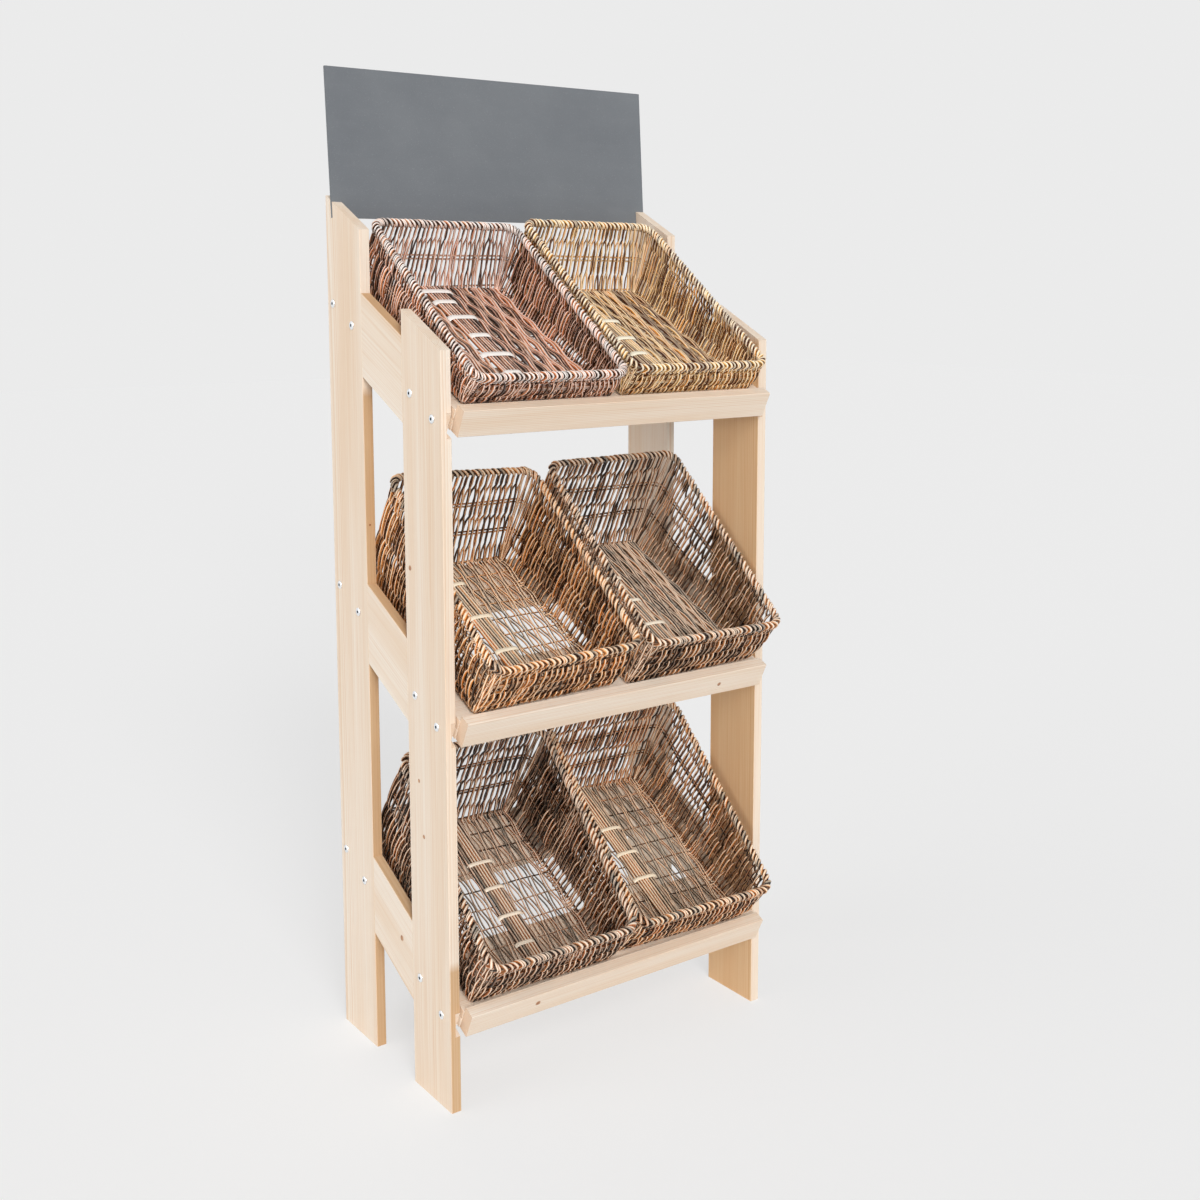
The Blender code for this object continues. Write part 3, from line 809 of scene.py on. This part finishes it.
def weave_bottom(strands, basket, rng):
    """Rods from front to back that sway over and under the cross rods, the ribbon and its strips."""
    bottom = basket.bottom
    length = foot_length(basket.form)
    half = RIM_HALF - SIDE_LEAN + FOOT_SPREAD
    reach = half - BOTTOM_INSET
    rods = int(2 * reach / bottom.pitch)
    up = (0, 0, 1)
    ribbon_half = RIBBON_PITCH * RIBBON_RODS / 2
    for rod in range(rods):
        x = -reach + (rod + 0.5) * 2 * reach / rods + rng.normal(0, BOTTOM_ROD_JITTER)
        if abs(x - basket.ribbon) < ribbon_half + bottom.radius * 0.6:
            continue
        cut = max(0.0, abs(x) - (half - FOOT_CORNER))
        short = FOOT_CORNER - math.sqrt(max(FOOT_CORNER**2 - cut**2, 0.0))
        ends = length / 2 - short - BOTTOM_ROD_INSET
        y = np.linspace(-ends, ends, BOTTOM_ROD_STEPS)
        way = math.pi * (y + length / 2) / CROSS_PITCH
        turn = 1 if (rod // bottom.group) % 2 else -1
        settle = np.clip((ends - np.abs(y)) / BOTTOM_SETTLE, 0, 1)
        sway = turn * np.cos(way) * bottom.depth * rng.normal(*BOTTOM_SWAY)
        drift = wobble(BOTTOM_ROD_WOBBLE, y, rng.uniform(0, 6)) + turn * bottom.weave * np.sin(way)
        path = np.stack((x + drift, y, FLOOR_MIDDLE + sway * settle), -1)
        radius = bottom.radius * rng.normal(1.0, BOTTOM_ROD_SPREAD)
        strands.add(path, up, radius, rng.random(), bottom.rod_pale, THIN_ROD_SIDES)
    for row in range(int(length / CROSS_PITCH) + 1):
        y = -length / 2 + row * CROSS_PITCH
        if abs(y) > length / 2 - END_INSET:
            continue
        x = np.linspace(-reach, reach, CROSS_STEPS)
        rise = np.full(CROSS_STEPS, FLOOR_MIDDLE - CROSS_DROP)
        path = np.stack((x, y + wobble(CROSS_WOBBLE, x, row), rise), -1)
        strands.add(path, up, CROSS_RADIUS, rng.random(), CROSS_SHADE, THIN_ROD_SIDES)
    for rod in range(RIBBON_RODS):
        x = basket.ribbon + (rod - (RIBBON_RODS - 1) / 2) * RIBBON_PITCH
        y = np.linspace(-length / 2 + END_INSET, length / 2 - END_INSET, RIBBON_STEPS)
        drift = wobble(RIBBON_WOBBLE, y, rng.uniform(0, 6))
        rise = FLOOR_MIDDLE + RIBBON_RISE + wobble(RIBBON_WAVE, y, rod)
        path = np.stack((x + drift, y, rise), -1)
        strands.add(path, up, RIBBON_RADIUS, rng.random(), bottom.rod_pale)
    for low, high, run in basket.strips:
        x = np.linspace(low - STRIP_OVERHANG, high + STRIP_OVERHANG, STRIP_STEPS)
        share = (x - x[0]) / (x[-1] - x[0])
        top = FLOOR_MIDDLE + RIBBON_RISE + RIBBON_RADIUS + STRIP_THICKNESS / 3
        z = top - STRIP_BEND * np.abs(2 * share - 1) ** STRIP_BEND_POWER
        y = -length / 2 + run + wobble(STRIP_WOBBLE, share)
        path = np.stack((x, y, z), -1)
        squeeze = STRIP_THICKNESS / (2 * bottom.strip_radius)
        strands.add(path, up, bottom.strip_radius, STRIP_TONE, bottom.strip_pale, squeeze=squeeze)


# Scales of the bark's patterns along the rod and twice across it, and what adds up to a rod's lightness:
# the painted light across the rod, its tone, streaks and bands
BARK_STREAK_SCALE = (18, 900, 900)
BARK_BAND_SCALE = (42, 40, 40)
BARK_SCAR_SCALE = (150, 20, 60)
CREST_LIGHT_WEIGHT = 0.66
TONE_WEIGHT = 0.74
STREAK_WEIGHT = 0.9
BAND_WEIGHT = 0.7
GAP_SHADE = (0.01, 0.006, 0.004)


def read(tree, label):
    """What the mesh says about each place under this name."""
    found = tree.nodes.new("ShaderNodeAttribute")
    found.attribute_type = "GEOMETRY"
    found.attribute_name = label
    return found


def willow(name, dark, light, warm, cream):
    """Stained willow bark with a thin varnish.

    It goes from painted shade on the flanks to a light or warm body, with painted cream highlights on
    the crests.
    """
    made, tree, shader = new_material(name)
    tone = read(tree, "tone").outputs["Fac"]
    pale = read(tree, "pale").outputs["Fac"]
    crest_light = read(tree, "crest_light").outputs["Fac"]
    lay = read(tree, "lay").outputs["Vector"]
    streak = noise(tree, stretched(tree, lay, BARK_STREAK_SCALE), 1.0, 3.0, 0.6)
    band = noise(tree, stretched(tree, lay, BARK_BAND_SCALE), 1.0, 2.0, 0.5)
    scar = remap(tree, noise(tree, stretched(tree, lay, BARK_SCAR_SCALE), 1.0, 1.0), 0.68, 0.76)
    # The rod's lightness: painted shade on its flanks and painted light on its crests, with its own
    # tone, streaks and bands
    share = maths(tree, "MULTIPLY_ADD", crest_light, CREST_LIGHT_WEIGHT, maths(tree, "MULTIPLY", tone, TONE_WEIGHT))
    share = maths(tree, "MULTIPLY_ADD", maths(tree, "SUBTRACT", streak, 0.5), STREAK_WEIGHT, share)
    share = maths(tree, "MULTIPLY_ADD", maths(tree, "SUBTRACT", band, 0.5), BAND_WEIGHT, share)
    ochre = remap(tree, maths(tree, "FRACT", maths(tree, "MULTIPLY", tone, 7.3)), 0.55, 0.75)
    body = mixed(tree, maths(tree, "MULTIPLY", ochre, 0.7), light, warm)
    colour = mixed(tree, remap(tree, share, 0.56, 0.98), dark, body)
    # Painted highlight: cream glints on the rods' crests
    ridge = remap(tree, crest_light, 0.72, 0.95)
    painted_glint = maths(tree, "MULTIPLY", ridge, remap(tree, share, 0.70, 1.06, 0.1, 0.9))
    colour = mixed(tree, painted_glint, colour, cream)
    # Pale rods and strips turn cream: a strip all round as its own colour, a round rod on its crests
    # only, where it is also a painted highlight
    facing = maths(tree, "MULTIPLY", maths(tree, "MAXIMUM", pale, 0.0), remap(tree, crest_light, 0.5, 0.92))
    colour = mixed(tree, facing, colour, cream)
    # Painted shade for rods with a pale below 0: the hoops, the rim's core and the cross rods
    shade = maths(tree, "MAXIMUM", maths(tree, "MULTIPLY", pale, -1.0), 0.0)
    colour = mixed(tree, shade, colour, GAP_SHADE)
    colour = mixed(tree, maths(tree, "MULTIPLY", scar, 0.5), colour, dark)
    tree.links.new(colour, shader.inputs["Base Color"])
    tree.links.new(remap(tree, streak, 0.3, 0.7, 0.26, 0.42), shader.inputs["Roughness"])
    shader.inputs["Specular IOR Level"].default_value = 0.25
    shader.inputs["Coat Weight"].default_value = 0.12
    shader.inputs["Coat Roughness"].default_value = 0.22
    height = maths(tree, "MULTIPLY_ADD", scar, -0.5, streak)
    bump(tree, shader, height, 0.0003, 0.5)
    return made


# Dark is the bark's own dark and also the painted shade on the rods' flanks; cream is the pale rods' and
# strips' own colour and also the painted highlight on the crests
Colours = namedtuple("Colours", "dark light warm cream")
# Pitch and radius of the rods, how far they sway up and down and sideways, how many sway together, and
# the look of rods and strips
# Rod_pale is how light the bottom rods are and also how strong the painted highlight on their crests
Bottom = namedtuple("Bottom", "pitch radius depth weave group strip_radius strip_pale rod_pale")
# Stray is the way to the right and swing the turn, both in shares of SIDE_GAP. The four corners are how
# far the rim strays there. Ribbon is the place of the ribbon across the bottom. Each strip has its two
# ends across and its way from the front. Split_share is the share of wraps that are split.
# Rim_pale is how light the wraps are and also how strong the painted highlight on their crests
Basket = namedtuple(
    "Basket",
    "form slot stray swing front_left front_right back_left back_right"
    " ribbon strips bottom split_share rim_pale colours",
)


def moved(across=0.0, along=0.0, up=0.0):
    """How far a corner of a rim strays from its form."""
    return np.array((across, along, up))


BASKETS = {
    "top_left": Basket(
        form=SHALLOW._replace(
            back_gap=0.013, back_height=0.1505, front_height=0.071, back_lean=-0.0035, front_lean=0.0285,
            wraps=158,
        ),
        slot="willow_brown",
        stray=0.07,
        swing=0.30,
        front_left=moved(),
        front_right=moved(),
        back_left=moved(),
        back_right=moved(across=-0.002, up=-0.002),
        ribbon=-0.004,
        strips=(
            (-0.038, 0.029, 0.430),
            (-0.028, 0.016, 0.383),
            (-0.029, 0.028, 0.315),
            (-0.021, 0.018, 0.238),
            (-0.036, 0.028, 0.160),
            (-0.023, 0.007, 0.088),
        ),
        bottom=Bottom(0.0066, 0.0031, 0.0030, 0.0014, 3, 0.0078, 1.0, 0.06),
        split_share=0.3,
        rim_pale=0.85,
        colours=Colours(
            linear(46, 22, 10), linear(232, 158, 110), linear(222, 122, 58), linear(255, 249, 243)
        ),
    ),
    "top_right": Basket(
        form=SHALLOW._replace(front_lean=0.0225),
        slot="willow_tan",
        stray=-0.42,
        swing=0.18,
        front_left=moved(),
        front_right=moved(),
        back_left=moved(),
        back_right=moved(across=-0.002, up=-0.003),
        ribbon=-0.022,
        strips=(
            (-0.055, -0.003, 0.388),
            (-0.045, 0.014, 0.286),
            (-0.035, 0.005, 0.210),
            (-0.040, -0.010, 0.144),
        ),
        bottom=Bottom(0.0060, 0.0029, 0.0026, 0.0006, 2, 0.0066, 0.9, 0.25),
        split_share=0.2,
        rim_pale=0.68,
        colours=Colours(
            linear(86, 40, 9), linear(255, 202, 126), linear(255, 164, 50), linear(255, 248, 226)
        ),
    ),
    "middle_left": Basket(
        form=DEEP,
        slot="willow_golden",
        stray=0.28,
        swing=-0.30,
        front_left=moved(across=-0.002),
        front_right=moved(),
        back_left=moved(across=-0.016, along=0.003, up=0.0015),
        back_right=moved(across=-0.008, up=-0.014),
        ribbon=-0.006,
        strips=((-0.004, 0.018, 0.362), (-0.027, 0.020, 0.250), (-0.027, 0.017, 0.141)),
        bottom=Bottom(0.0070, 0.0019, 0.0034, 0.0014, 2, 0.0056, 0.9, 0.6),
        split_share=0.25,
        rim_pale=0.4,
        colours=Colours(
            linear(48, 23, 7), linear(240, 162, 90), linear(248, 140, 36), linear(255, 243, 218)
        ),
    ),
    "middle_right": Basket(
        form=DEEP,
        slot="willow_grey_brown",
        stray=0.07,
        swing=-0.20,
        front_left=moved(),
        front_right=moved(along=-0.008, up=-0.0025),
        back_left=moved(across=-0.007),
        back_right=moved(),
        ribbon=0.0,
        strips=((-0.020, 0.028, 0.310), (-0.010, 0.026, 0.228), (-0.030, 0.033, 0.146)),
        bottom=Bottom(0.0058, 0.0027, 0.0026, 0.0006, 2, 0.0048, 0.75, 0.42),
        split_share=0.15,
        rim_pale=0.4,
        colours=Colours(
            linear(38, 19, 9), linear(210, 146, 94), linear(206, 122, 50), linear(255, 245, 226)
        ),
    ),
    "bottom_left": Basket(
        form=DEEP,
        slot="willow_dark",
        stray=-0.14,
        swing=0.17,
        front_left=moved(),
        front_right=moved(),
        back_left=moved(across=-0.004),
        back_right=moved(across=0.004),
        ribbon=0.014,
        strips=(
            (-0.004, 0.047, 0.305),
            (-0.002, 0.036, 0.234),
            (-0.009, 0.039, 0.159),
            (-0.010, 0.025, 0.086),
        ),
        bottom=Bottom(0.0070, 0.0018, 0.0034, 0.0014, 2, 0.0046, 0.6, 0.25),
        split_share=0.35,
        rim_pale=0.4,
        colours=Colours(
            linear(28, 14, 6), linear(186, 120, 70), linear(184, 98, 36), linear(253, 239, 218)
        ),
    ),
    "bottom_right": Basket(
        form=DEEP._replace(front_height=0.125, front_lean=0.0405, wraps=134),
        slot="willow_mid_brown",
        stray=-0.50,
        swing=0.52,
        front_left=moved(up=-0.003),
        front_right=moved(across=0.006),
        back_left=moved(across=-0.008),
        back_right=moved(),
        ribbon=0.002,
        strips=((-0.022, 0.026, 0.300), (-0.020, 0.026, 0.225), (-0.022, 0.028, 0.150)),
        bottom=Bottom(0.0068, 0.0018, 0.0032, 0.0014, 2, 0.0046, 0.6, 0.42),
        split_share=0.25,
        rim_pale=0.4,
        colours=Colours(
            linear(38, 18, 6), linear(216, 140, 76), linear(218, 118, 38), linear(255, 242, 216)
        ),
    ),
}


def basket_matrix(spot, basket):
    """Where the basket's own frame stands: its middle on the sloping shelf, turned by its swing."""
    tier_name, side_name = spot.split("_")
    length = foot_length(basket.form)
    turn = math.asin(-basket.swing * SIDE_GAP / (length / 2))
    setback = (RIM_HALF - SIDE_LEAN + WALL / 2) * abs(math.sin(turn))
    run = SHELF_FRONT + LIP_GAP + WALL / 2 + length / 2 + setback
    centre = SIDES[side_name] * (RIM_HALF + RIM_RADIUS + SIDE_GAP / 2) + basket.stray * SIDE_GAP
    tier = Matrix.Translation((0, POSTS_FRONT, TIER_HEIGHTS[tier_name])) @ Matrix.Rotation(SLOPE, 4, "X")
    local = Matrix.Translation((centre, run, SEAT_GAP - SHELF_DROP)) @ Matrix.Rotation(turn, 4, "Z")
    return tier @ local


def weave_baskets():
    """Weaves each basket in its own frame and sets it in the place of its solid."""
    for number, (spot, basket) in enumerate(BASKETS.items()):
        rng = np.random.default_rng(BASKET_SEED + number)
        strands = Strands()
        weave_walls(strands, basket, rng)
        rope_rim(strands, basket, rng)
        weave_bottom(strands, basket, rng)
        finish = willow(basket.slot + "_woven", *basket.colours)
        mesh = strands.mesh(spot + "_weave", finish)
        mesh.transform(basket_matrix(spot, basket))
        made = bpy.data.objects.new(spot + "_weave", mesh)
        bpy.context.scene.collection.objects.link(made)
        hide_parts(spot + "_basket")
        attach(made, spot + "_basket")


# Boards

# Place and radius of each knot
KNOTS = {
    "front_left_post": (
        ((-0.386, -0.0464, 1.0305), 0.0055),
        ((-0.386, -0.0664, 0.6233), 0.0042),
        ((-0.386, -0.0822, 0.5177), 0.0045),
    ),
    "back_left_post": (((-0.3769, 0.1322, 1.0872), 0.0024),),
    "bottom_left_rail": (((-0.386, 0.0150, 0.2797), 0.0062),),
    "middle_lip": (((0.2427, -0.1994, 0.7393), 0.0050),),
    "bottom_lip": (((-0.2086, -0.2010, 0.1808), 0.0060),),
}
# Direction, top and tint of the sides with painted shade, tinted orange as by light bounced off the
# baskets, where the stand and the baskets shade them. ABOVE_ALL is higher than any board.
RAIL_TOP = (0, -math.sin(SLOPE), math.cos(SLOPE))
ABOVE_ALL = 2.0
SHADED_SIDES = {
    "back_left_post": ((0, -1, 0), 1.36, DEEP_SHADE_TINT),
    "front_left_post": ((0, -1, 0), 0.30, DEEP_SHADE_TINT),
    "front_right_post": ((-1, 0, 0), 1.45, BOUNCE_SHADE_TINT),
    "top_left_rail": (RAIL_TOP, ABOVE_ALL, DEEP_SHADE_TINT),
    "middle_left_rail": (RAIL_TOP, ABOVE_ALL, DEEP_SHADE_TINT),
    "bottom_left_rail": (RAIL_TOP, ABOVE_ALL, DEEP_SHADE_TINT),
}
# Grain of the boards by the end of their name
BOARD_GRAINS = {
    "_post": "upright",
    "_rail": "sloping",
    "_batten": "sloping",
    "_lip": "lip",
    "_shelf_board": "lip",
}


def finish_boards():
    """Gives each board its own pine, with the grain along it."""
    for number, name in enumerate(sorted(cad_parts)):
        grain = next((kind for end, kind in BOARD_GRAINS.items() if name.endswith(end)), None)
        if grain is None:
            continue
        low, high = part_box(name)
        rng = np.random.default_rng(BOARD_SEED + number)
        knots = KNOTS.get(name, ())
        shaded_side = SHADED_SIDES.get(name)
        give(name, pine("pine_" + name, grain, (low + high) / 2, rng, knots, shaded_side))


def give(name, finish):
    """Puts the material on a solid that shows as it is."""
    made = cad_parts[name]
    for slot in made.material_slots:
        slot.material = finish


# Stage


LAMPS = {
    "key": (KEY_TOWARDS, KEY_STRENGTH, KEY_SPREAD),
    "fill": (FILL_TOWARDS, FILL_STRENGTH, FILL_SPREAD),
    "top": (TOP_TOWARDS, TOP_STRENGTH, TOP_SPREAD),
}
BACKGROUND = linear(*[255 * BACKGROUND_GREY] * 3)


def light_on_floor():
    """What an open floor gets from the sky and the lamps, as the strength of an even sky."""
    total = SKY_LIGHT
    for towards, strength, _ in LAMPS.values():
        total += strength * Vector(towards).normalized().z / math.pi
    return total


def make_floor():
    """A matt floor that shows the background's grey and keeps the object's shadow."""
    half = FLOOR_REACH / 2
    mesh = bpy.data.meshes.new("studio_floor")
    corners = [(-half, -half, 0), (half, -half, 0), (half, half, 0), (-half, half, 0)]
    mesh.from_pydata(corners, [], [(0, 1, 2, 3)])
    floor = bpy.data.objects.new("studio_floor", mesh)
    bpy.context.scene.collection.objects.link(floor)
    made, tree, shader = new_material("studio_floor")
    shader.inputs["Base Color"].default_value = (*[FLOOR_ALBEDO] * 3, 1)
    shader.inputs["Roughness"].default_value = 1.0
    shader.inputs["Specular IOR Level"].default_value = 0.0
    matt = (1 - FLOOR_GLOW_SHARE) * FLOOR_ALBEDO * light_on_floor()
    glow = node(tree, "Emission", (1, 1, 1), (BACKGROUND[0] - matt) / FLOOR_GLOW_SHARE).outputs[0]
    share = maths(tree, "MULTIPLY", seen_directly(tree), FLOOR_GLOW_SHARE)
    blend = node(tree, "MixShader", share, shader.outputs[0], glow)
    tree.links.new(blend.outputs[0], tree.nodes["Material Output"].inputs["Surface"])
    mesh.materials.append(made)


def seen_directly(tree):
    """1 for what the camera sees, also through or in a glossy surface."""
    path = node(tree, "LightPath")
    direct = maths(tree, "ADD", path.outputs["Is Camera Ray"], path.outputs["Is Glossy Ray"], clamp=True)
    return maths(tree, "ADD", direct, path.outputs["Is Transmission Ray"], clamp=True)


def make_world():
    """An even sky for the light, with the background's grey for what the camera sees."""
    world = bpy.data.worlds.new("studio")
    world.use_nodes = True
    bpy.context.scene.world = world
    tree = world.node_tree
    light = tree.nodes["Background"]
    light.inputs["Color"].default_value = (1, 1, 1, 1)
    light.inputs["Strength"].default_value = SKY_LIGHT
    seen = node(tree, "Background", BACKGROUND, 1.0).outputs[0]
    blend = node(tree, "MixShader", seen_directly(tree), light.outputs[0], seen)
    tree.links.new(blend.outputs[0], tree.nodes["World Output"].inputs["Surface"])


def make_lamp(name, towards, strength, spread):
    lamp = bpy.data.lights.new(name, "SUN")
    lamp.energy = strength
    lamp.angle = spread
    made = bpy.data.objects.new(name, lamp)
    made.rotation_euler = Vector(towards).to_track_quat("Z", "Y").to_euler()
    bpy.context.scene.collection.objects.link(made)


def make_camera():
    lens = bpy.data.cameras.new("camera")
    lens.sensor_width = SENSOR_WIDTH
    lens.lens = CAMERA_LENS
    lens.shift_y = CAMERA_SHIFT_UP
    lens.clip_end = 2 * FLOOR_REACH
    made = bpy.data.objects.new("camera", lens)
    made.matrix_world = (
        Matrix.Translation(CAMERA_PLACE)
        @ Matrix.Rotation(CAMERA_HEADING, 4, "Z")
        @ Matrix.Rotation(math.pi / 2 + CAMERA_PITCH, 4, "X")
        @ Matrix.Rotation(CAMERA_ROLL, 4, "Z")
    )
    bpy.context.scene.collection.objects.link(made)
    bpy.context.scene.camera = made


make_camera()
make_world()
make_floor()
for lamp_name, lamp_values in LAMPS.items():
    make_lamp(lamp_name, *lamp_values)
bpy.context.scene.view_settings.view_transform = "Standard"

finish_boards()
give("chalkboard", slate())
place_bolts(zinc())
weave_baskets()
